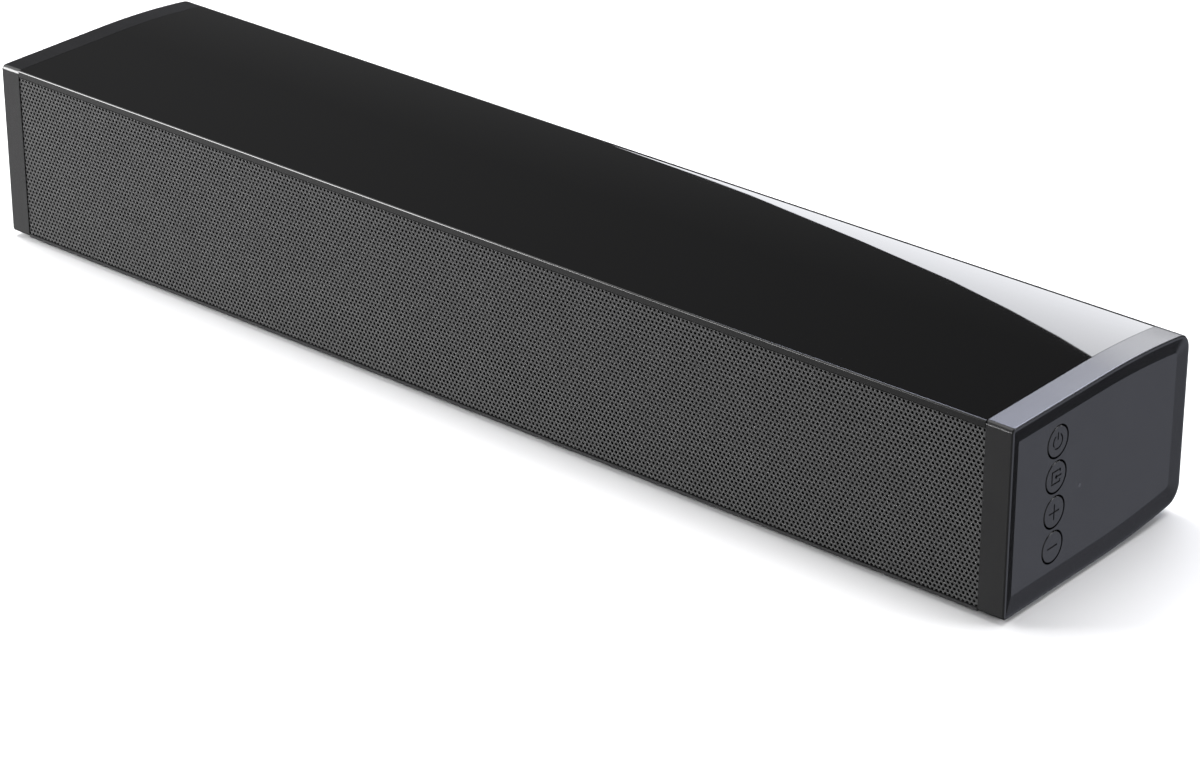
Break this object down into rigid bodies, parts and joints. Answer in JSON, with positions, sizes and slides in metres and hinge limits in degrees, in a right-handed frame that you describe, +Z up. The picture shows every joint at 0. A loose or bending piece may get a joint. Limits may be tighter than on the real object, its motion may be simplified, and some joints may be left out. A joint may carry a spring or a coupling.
{
  "type": "soundbar",
  "caption": "Low desktop soundbar with a gloss top, a perforated metal front, a socket bay behind and a column of round press keys in the dished right end cap.",
  "frame": {"origin": "on the surface that the feet stand on, under the middle of the case's length and depth", "axes": "+X along the bar towards the keys, +Y towards the sockets, so the grille faces -Y, +Z up"},
  "size_m": [0.4, 0.0874, 0.0608],
  "materials": {
    "gloss_black": "piano gloss",
    "case_plastic": "fine satin texture",
    "baffle_plastic": "moulded matte",
    "grille_paint": "satin powder coat",
    "acoustic_cloth": "thin open weave",
    "foot_rubber": "matte",
    "key_plastic": "fine satin texture",
    "plunger_plastic": "moulded",
    "switch_plastic": "moulded",
    "board": "solder mask",
    "light_pipe": "frosted acrylic",
    "basket_steel": "satin black",
    "ferrite": "sintered, ground flat",
    "coil_copper": "enamelled copper wire",
    "cone_paper": "pressed paper",
    "surround_rubber": "smooth",
    "spider_cloth": "impregnated weave",
    "socket_plastic": "moulded",
    "shutter_plastic": "moulded",
    "socket_steel": "plated",
    "chip_plastic": "moulded epoxy",
    "heatsink_aluminium": "extruded",
    "capacitor_sleeve": "shrink sleeve",
    "module_shield": "tinned",
    "receiver_plastic": "dark lens",
    "lead_insulation": "soft insulation",
    "screw_steel": "black zinc",
    "insert_brass": "turned"
  },
  "bodies": {
    "case": {"amplifier_heatsink": "heatsink_aluminium", "aux_jack": "socket_plastic", "board_chips": "chip_plastic", "board_screws": "screw_steel", "bottom_chassis": "case_plastic", "capacitors": "capacitor_sleeve", "case_screws": "screw_steel", "dc_jack": "socket_plastic", "driver_screws": "screw_steel", "foot_front_left": "foot_rubber", "foot_front_right": "foot_rubber", "foot_rear_left": "foot_rubber", "foot_rear_right": "foot_rubber", "front_baffle": "baffle_plastic", "front_grille": "grille_paint", "grille_cloth": "acoustic_cloth", "infrared_receiver": "receiver_plastic", "key_board": "board", "key_lead": "lead_insulation", "left_basket": "basket_steel", "left_end_cap": "case_plastic", "left_magnet": "ferrite", "left_spider": "spider_cloth", "left_surround": "surround_rubber", "left_top_plate": "basket_steel", "left_yoke": "basket_steel", "main_board": "board", "optical_socket": "socket_plastic", "rear_cover": "case_plastic", "rear_screws": "screw_steel", "right_basket": "basket_steel", "right_end_cap": "case_plastic", "right_magnet": "ferrite", "right_spider": "spider_cloth", "right_surround": "surround_rubber", "right_top_plate": "basket_steel", "right_yoke": "basket_steel", "sensor_board": "board", "speaker_leads": "lead_insulation", "status_light_pipe": "light_pipe", "switch_bodies": "switch_plastic", "top_cover": "gloss_black", "usb_socket": "socket_steel", "wall_inserts": "insert_brass", "wireless_module": "module_shield"},
    "power_button": {"power_key": "key_plastic", "power_plunger": "plunger_plastic"},
    "source_button": {"source_key": "key_plastic", "source_plunger": "plunger_plastic"},
    "volume_up_button": {"volume_up_key": "key_plastic", "volume_up_plunger": "plunger_plastic"},
    "volume_down_button": {"volume_down_key": "key_plastic", "volume_down_plunger": "plunger_plastic"},
    "left_cone_assembly": {"left_cone": "cone_paper", "left_dust_cap": "cone_paper", "left_voice_coil": "coil_copper"},
    "right_cone_assembly": {"right_cone": "cone_paper", "right_dust_cap": "cone_paper", "right_voice_coil": "coil_copper"},
    "optical_door": {"optical_shutter": "shutter_plastic"}
  },
  "joints": [
    {"name": "power_press", "type": "slide", "parent": "case", "child": "power_button", "axis": [-1, 0, 0], "range_m": [0, 0.0005], "stiffness_N_per_m": 2500, "springref_m": -0.0002},
    {"name": "source_press", "type": "slide", "parent": "case", "child": "source_button", "axis": [-1, 0, 0], "range_m": [0, 0.0005], "stiffness_N_per_m": 2500, "springref_m": -0.0002},
    {"name": "volume_up_press", "type": "slide", "parent": "case", "child": "volume_up_button", "axis": [-1, 0, 0], "range_m": [0, 0.0005], "stiffness_N_per_m": 2500, "springref_m": -0.0002},
    {"name": "volume_down_press", "type": "slide", "parent": "case", "child": "volume_down_button", "axis": [-1, 0, 0], "range_m": [0, 0.0005], "stiffness_N_per_m": 2500, "springref_m": -0.0002},
    {"name": "left_cone_stroke", "type": "slide", "parent": "case", "child": "left_cone_assembly", "axis": [0, -1, 0], "range_m": [-0.0015, 0.0015], "stiffness_N_per_m": 1500, "deforming": ["left_surround", "left_spider"]},
    {"name": "right_cone_stroke", "type": "slide", "parent": "case", "child": "right_cone_assembly", "axis": [0, -1, 0], "range_m": [-0.0015, 0.0015], "stiffness_N_per_m": 1500, "deforming": ["right_surround", "right_spider"]},
    {"name": "optical_door_hinge", "type": "hinge", "parent": "case", "child": "optical_door", "pos_m": [0.025, 0.0294, 0.0251], "axis": [-1, 0, 0], "range_deg": [0, 78], "stiffness_Nm_per_rad": 0.002, "springref_deg": -20.05}
  ]
}
